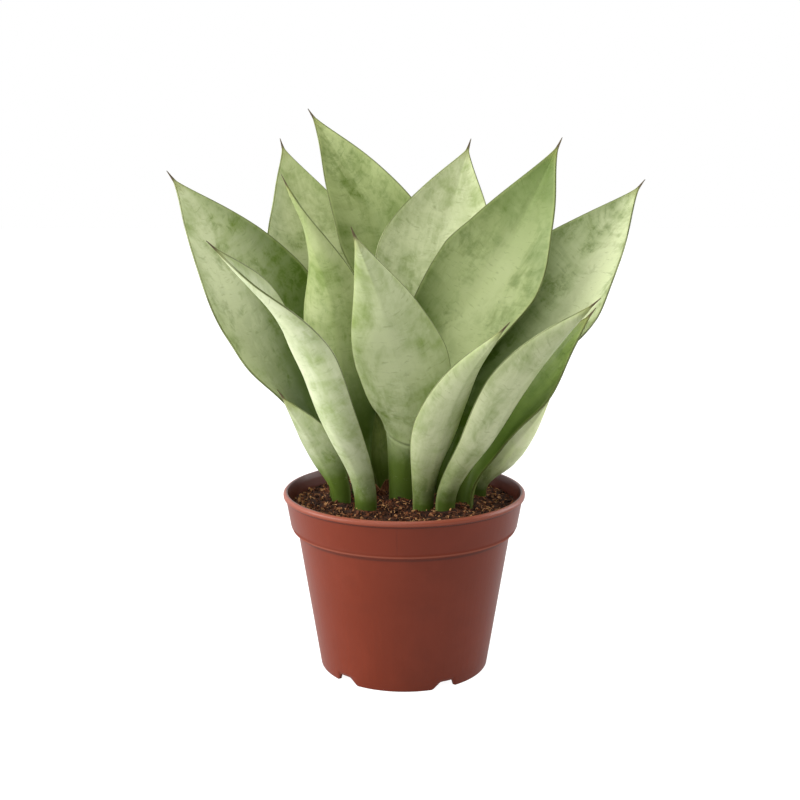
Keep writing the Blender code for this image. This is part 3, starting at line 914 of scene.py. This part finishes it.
def build_soil(settings):
    """Make the soil in place of its solid, with crumbs and fibres on it."""
    feet = [(recipe[0][0] * LEAF_SPREAD, recipe[0][1] * LEAF_SPREAD) for recipe in LEAVES.values()]
    rings, spokes = SOIL_RINGS, SOIL_SPOKES
    edge = soil_edge(SOIL_Z)
    points = [(0.0, 0.0, soil_ground(0.0, 0.0, feet))]
    for ring in range(1, rings + 1):
        level = circle(edge * ring / rings, SOIL_Z, spokes)
        points.extend((x, y, soil_ground(x, y, feet)) for x, y, _ in level)
    floor = SOIL_Z - SOIL_BED
    points.extend(circle(soil_edge(floor), floor, spokes))
    points.append((0.0, 0.0, floor))
    faces = []
    for spoke in range(spokes):
        n = (spoke + 1) % spokes
        faces.append((0, 1 + spoke, 1 + n))
        for ring in range(rings):
            base = 1 + ring * spokes
            faces.append((base + spoke, base + spokes + spoke, base + spokes + n, base + n))
        faces.append((len(points) - 1, 1 + rings * spokes + n, 1 + rings * spokes + spoke))
    rng = random.Random(5)
    tone = [rng.uniform(0.0, 0.6) for _ in points]
    bed = add_piece("soil_bed", points, faces, {"tone": tone}, 80)
    finish_piece(bed, soil_finish(settings, "damp_peat", 0.6, 0.95), "soil")

    crumbs = scatter_crumbs(settings.crumb_count, feet)
    finish_piece(crumbs, soil_finish(settings, "loose_crumbs", 0.9, 0.9), None)
    fibres = scatter_fibres(settings.fibre_count, feet)
    finish_piece(fibres, soil_finish(settings, "coir_fibre", 1.1, 0.85), None)


ICO = (1.0 + math.sqrt(5.0)) / 2.0
LUMP_POINTS = np.array([
    (-1, ICO, 0), (1, ICO, 0), (-1, -ICO, 0), (1, -ICO, 0), (0, -1, ICO), (0, 1, ICO),
    (0, -1, -ICO), (0, 1, -ICO), (ICO, 0, -1), (ICO, 0, 1), (-ICO, 0, -1), (-ICO, 0, 1),
]) / math.hypot(1.0, ICO)
LUMP_FACES = (
    (0, 11, 5), (0, 5, 1), (0, 1, 7), (0, 7, 10), (0, 10, 11), (1, 5, 9), (5, 11, 4), (11, 10, 2),
    (10, 7, 6), (7, 1, 8), (3, 9, 4), (3, 4, 2), (3, 2, 6), (3, 6, 8), (3, 8, 9), (4, 9, 5),
    (2, 4, 11), (6, 2, 10), (8, 6, 7), (9, 8, 1),
)


def random_turn(rng):
    """Random rotation matrix."""
    quaternion = rng.normal(size=4)
    w, x, y, z = quaternion / np.linalg.norm(quaternion)
    return np.array([
        (1 - 2 * (y * y + z * z), 2 * (x * y - z * w), 2 * (x * z + y * w)),
        (2 * (x * y + z * w), 1 - 2 * (x * x + z * z), 2 * (y * z - x * w)),
        (2 * (x * z - y * w), 2 * (y * z + x * w), 1 - 2 * (x * x + y * y)),
    ])


def soil_place(rng, margin):
    """Random place on the soil, away from the pot's wall by a margin."""
    radius = (soil_edge(SOIL_Z) - margin) * math.sqrt(rng.uniform())
    a = rng.uniform(0.0, 2.0 * math.pi)
    return radius * math.cos(a), radius * math.sin(a)


def scatter_crumbs(count, feet):
    """Loose crumbs of peat and coir lying on the soil."""
    rng = np.random.default_rng(21)
    points, faces, tone = [], [], []
    for _ in range(count):
        size = min(0.34 + rng.exponential(0.34), 1.9)
        x, y = soil_place(rng, size)
        flat = np.array((size * 1.2, size * 0.6, size * 0.4))
        shape = LUMP_POINTS * rng.uniform(0.5, 1.3, size=(12, 1)) * flat
        shape = shape @ random_turn(rng).T
        start = len(points)
        points.extend(shape + (x, y, soil_ground(x, y, feet) + size * rng.uniform(0.0, 0.45)))
        faces.extend(tuple(start + i for i in face) for face in LUMP_FACES)
        tone.extend([rng.beta(0.9, 1.7)] * 12)
    return add_piece("soil_crumbs", points, faces, {"tone": tone}, 50)


def scatter_fibres(count, feet):
    """Short bent coir fibres and chips lying on the soil."""
    rng = np.random.default_rng(33)
    points, faces, tone = [], [], []
    for _ in range(count):
        length = rng.uniform(0.8, 3.6)
        width = rng.uniform(0.1, 0.28)
        x, y = soil_place(rng, length * 0.5 + 0.4)
        heading = rng.uniform(0.0, 2.0 * math.pi)
        curl = rng.uniform(-0.5, 0.5)
        lift = rng.uniform(0.1, 0.6)
        shade = rng.uniform(0.2, 0.9)
        start = len(points)
        for step in range(FIBRE_STEPS):
            t = step / (FIBRE_STEPS - 1) - 0.5
            bend = heading + curl * t * 4.0
            px = x + math.cos(bend) * t * length
            py = y + math.sin(bend) * t * length
            pz = soil_ground(px, py, feet) + 0.45 + lift * (1.0 - 4.0 * t * t)
            taper = width * (1.0 - 1.2 * t * t)
            for corner in range(3):
                angle = 2.0 * math.pi * corner / 3.0
                points.append((
                    px - math.sin(bend) * taper * math.cos(angle),
                    py + math.cos(bend) * taper * math.cos(angle),
                    pz + taper * math.sin(angle),
                ))
                tone.append(shade)
        for step in range(FIBRE_STEPS - 1):
            for corner in range(3):
                n = (corner + 1) % 3
                base = start + step * 3
                faces.append((base + corner, base + n, base + n + 3, base + corner + 3))
        faces.append((start + 2, start + 1, start))
        last = len(points) - 3
        faces.append((last, last + 1, last + 2))
    return add_piece("soil_fibres", points, faces, {"tone": tone}, 50)


def sheath_finish():
    """Dry papery skin: thin brown with fine upright veins and paler torn edges."""
    f = Finish("dry_sheath")
    across, run, edge = f.attribute("skin")
    veins = f.noise(f.vector(across * 2.2, run * 0.12, 3.0), 3.0, 0.6)
    stains = f.noise(f.vector(across * 0.4, run * 0.3, 9.0), 3.0, 0.6)
    colour = f.blend(srgb(136, 88, 56), srgb(78, 42, 26), f.fade(stains, 0.35, 0.65))
    colour = f.blend(colour, srgb(160, 108, 74), f.fade(veins, 0.5, 0.7) * 0.5)
    colour = f.blend(colour, srgb(178, 132, 92), f.fade(edge, 0.6, 0.1) * 0.6)
    return f.principled(
        Base_Color=colour, Roughness=0.75, Specular_IOR_Level=0.2,
        Normal=f.bump(veins + stains * 0.4, 0.5, 0.0003),
    )


def build_sheath():
    """Dry scales left round the foot of the young leaf, each a thin closed curl."""
    foot_x, foot_y = LEAVES["leaf_young"][0]
    points, faces, skin_place = [], [], []
    rows = columns = SHEATH_ROWS
    for turn, reach, height, half_angle in SHEATH_SCALES:
        start = len(points)
        for skin in (0.0, SHEATH_THICK):
            for row in range(rows):
                t = row / (rows - 1)
                z = SOIL_Z - 1.0 + height * t
                spread = half_angle * (1.0 - 0.75 * t**1.6)
                for column in range(columns):
                    u = 2.0 * column / (columns - 1) - 1.0
                    a = math.radians(turn + spread * u)
                    flare = reach + 1.6 * t * t + 0.25 * math.sin(5.0 * u + turn) * t - skin
                    tear = 0.5 * math.sin(7.0 * u + turn) * t
                    points.append((
                        foot_x * LEAF_SPREAD + flare * math.cos(a),
                        foot_y * LEAF_SPREAD + flare * math.sin(a),
                        z + tear,
                    ))
                    from_side = (1.0 - abs(u)) * math.radians(spread) * flare
                    skin_place.append((u * reach, height * t, min(from_side, height * (1.0 - t))))
        layer = rows * columns
        for row in range(rows - 1):
            for column in range(columns - 1):
                a = start + row * columns + column
                quad = (a, a + 1, a + columns + 1, a + columns)
                faces.append(quad)
                faces.append(tuple(layer + i for i in quad[::-1]))
        border = [start + c for c in range(columns)]
        border += [start + r * columns + columns - 1 for r in range(1, rows)]
        border += [start + (rows - 1) * columns + c for c in range(columns - 2, -1, -1)]
        border += [start + r * columns for r in range(rows - 2, 0, -1)]
        for a, b in zip(border, border[1:] + border[:1]):
            faces.append((b, a, a + layer, b + layer))
    made = add_piece("dry_scales", points, faces, {"skin": skin_place}, 50)
    finish_piece(made, sheath_finish(), None)


# --- studio ---
def add_light(name, place, size, power):
    """Square soft light at a place in metres, aimed at the middle of the plant."""
    data = bpy.data.lights.new(name, "AREA")
    data.size = size
    data.energy = power
    made = bpy.data.objects.new(name, data)
    made.location = place
    aim = (CAD_BOX[0] + CAD_BOX[1]) / 2.0 - made.location
    made.rotation_euler = aim.to_track_quat("-Z", "Y").to_euler()
    bpy.context.scene.collection.objects.link(made)


def build_stage(settings):
    """Set out the lit white floor, the lights, the air and the camera."""
    mesh = bpy.data.meshes.new("studio_floor")
    corners = [(x * FLOOR_HALF, y * FLOOR_HALF, 0.0) for x, y in ((-1, -1), (1, -1), (1, 1), (-1, 1))]
    mesh.from_pydata(corners, [], [(0, 1, 2, 3)])
    floor = bpy.data.objects.new("studio_floor", mesh)
    bpy.context.scene.collection.objects.link(floor)
    f = Finish("lit_white_floor")
    seen = f.node("ShaderNodeLightPath", output="Is Camera Ray")
    glow = f.blend((settings.floor_glow,) * 3, (1.0, 1.0, 1.0), seen)
    mesh.materials.append(f.principled(
        Base_Color=tuple(settings.floor_colour), Roughness=0.9, Specular_IOR_Level=0.0,
        Emission_Color=glow, Emission_Strength=0.96,
    ))

    for name, place, size, share in LIGHTS:
        add_light(name, place, size, settings.light_power * share)

    world = bpy.data.worlds.new("studio_air")
    world.use_nodes = True
    air = Finish.around(world)
    towards = air.node("ShaderNodeTexCoord", output="Generated")
    x, y, _ = air.parts(towards)
    strength = air.fade(y, -0.4, 0.7) * 0.9 + air.fade(x, -0.3, -0.95) * 0.8 + 0.08
    white = (1.0, 1.0, 1.0)
    lighting = air.node("ShaderNodeBackground", None, {"Color": white, "Strength": strength})
    shown = air.node("ShaderNodeBackground", None, {"Color": white, "Strength": 1.0})
    seen = air.node("ShaderNodeLightPath", output="Is Camera Ray")
    both = air.node("ShaderNodeMixShader", None, {0: seen, 1: lighting, 2: shown})
    air.put(air.tree.nodes["World Output"].inputs["Surface"], both)
    bpy.context.scene.world = world
    bpy.context.scene.view_settings.view_transform = "Standard"

    camera = bpy.data.objects.new("camera", bpy.data.cameras.new("camera"))
    camera.location = CAMERA_PLACE
    camera.rotation_euler = (math.radians(CAMERA_TILT), 0.0, 0.0)
    camera.data.lens = CAMERA_LENS
    camera.data.sensor_width = 36.0
    camera.data.clip_start = 0.01
    bpy.context.scene.collection.objects.link(camera)
    bpy.context.scene.camera = camera


# --- add-on ---
class PLANT_OT_make_pot(bpy.types.Operator):
    """Turn the nursery pot with its banded rim and drainage notches."""

    bl_idname = "plant.make_pot"
    bl_label = "Make pot"

    def execute(self, context):
        build_pot(context.scene.plant)
        return {"FINISHED"}


class PLANT_OT_make_soil(bpy.types.Operator):
    """Fill the pot with soil and scatter crumbs and coir fibres on it."""

    bl_idname = "plant.make_soil"
    bl_label = "Make soil"

    def execute(self, context):
        build_soil(context.scene.plant)
        return {"FINISHED"}


class PLANT_OT_make_leaves(bpy.types.Operator):
    """Grow the fifteen leaves in their places, with dry scales round the youngest."""

    bl_idname = "plant.make_leaves"
    bl_label = "Make leaves"

    def execute(self, context):
        for name in LEAVES:
            build_leaf(name, context.scene.plant)
        build_sheath()
        return {"FINISHED"}


class PLANT_OT_make_stage(bpy.types.Operator):
    """Set out the floor, the soft lights and the camera."""

    bl_idname = "plant.make_stage"
    bl_label = "Make stage"

    def execute(self, context):
        build_stage(context.scene.plant)
        return {"FINISHED"}


class PLANT_PT_panel(bpy.types.Panel):
    """Sizes, colours and steps of the plant."""

    bl_label = "Potted snake plant"
    bl_idname = "PLANT_PT_panel"
    bl_space_type = "VIEW_3D"
    bl_region_type = "UI"
    bl_category = "Plant"

    def draw(self, context):
        for name in PlantSettings.__annotations__:
            self.layout.prop(context.scene.plant, name)
        for operator in OPERATORS:
            self.layout.operator(operator.bl_idname)


OPERATORS = (PLANT_OT_make_pot, PLANT_OT_make_soil, PLANT_OT_make_leaves, PLANT_OT_make_stage)
CLASSES = (PlantSettings, *OPERATORS, PLANT_PT_panel)


def register():
    for kind in CLASSES:
        bpy.utils.register_class(kind)
    bpy.types.Scene.plant = bpy.props.PointerProperty(type=PlantSettings)


def unregister():
    del bpy.types.Scene.plant
    for kind in reversed(CLASSES):
        bpy.utils.unregister_class(kind)


def main():
    register()
    bpy.ops.plant.make_pot()
    bpy.ops.plant.make_soil()
    bpy.ops.plant.make_leaves()
    bpy.ops.plant.make_stage()


if __name__ == "__main__":
    main()
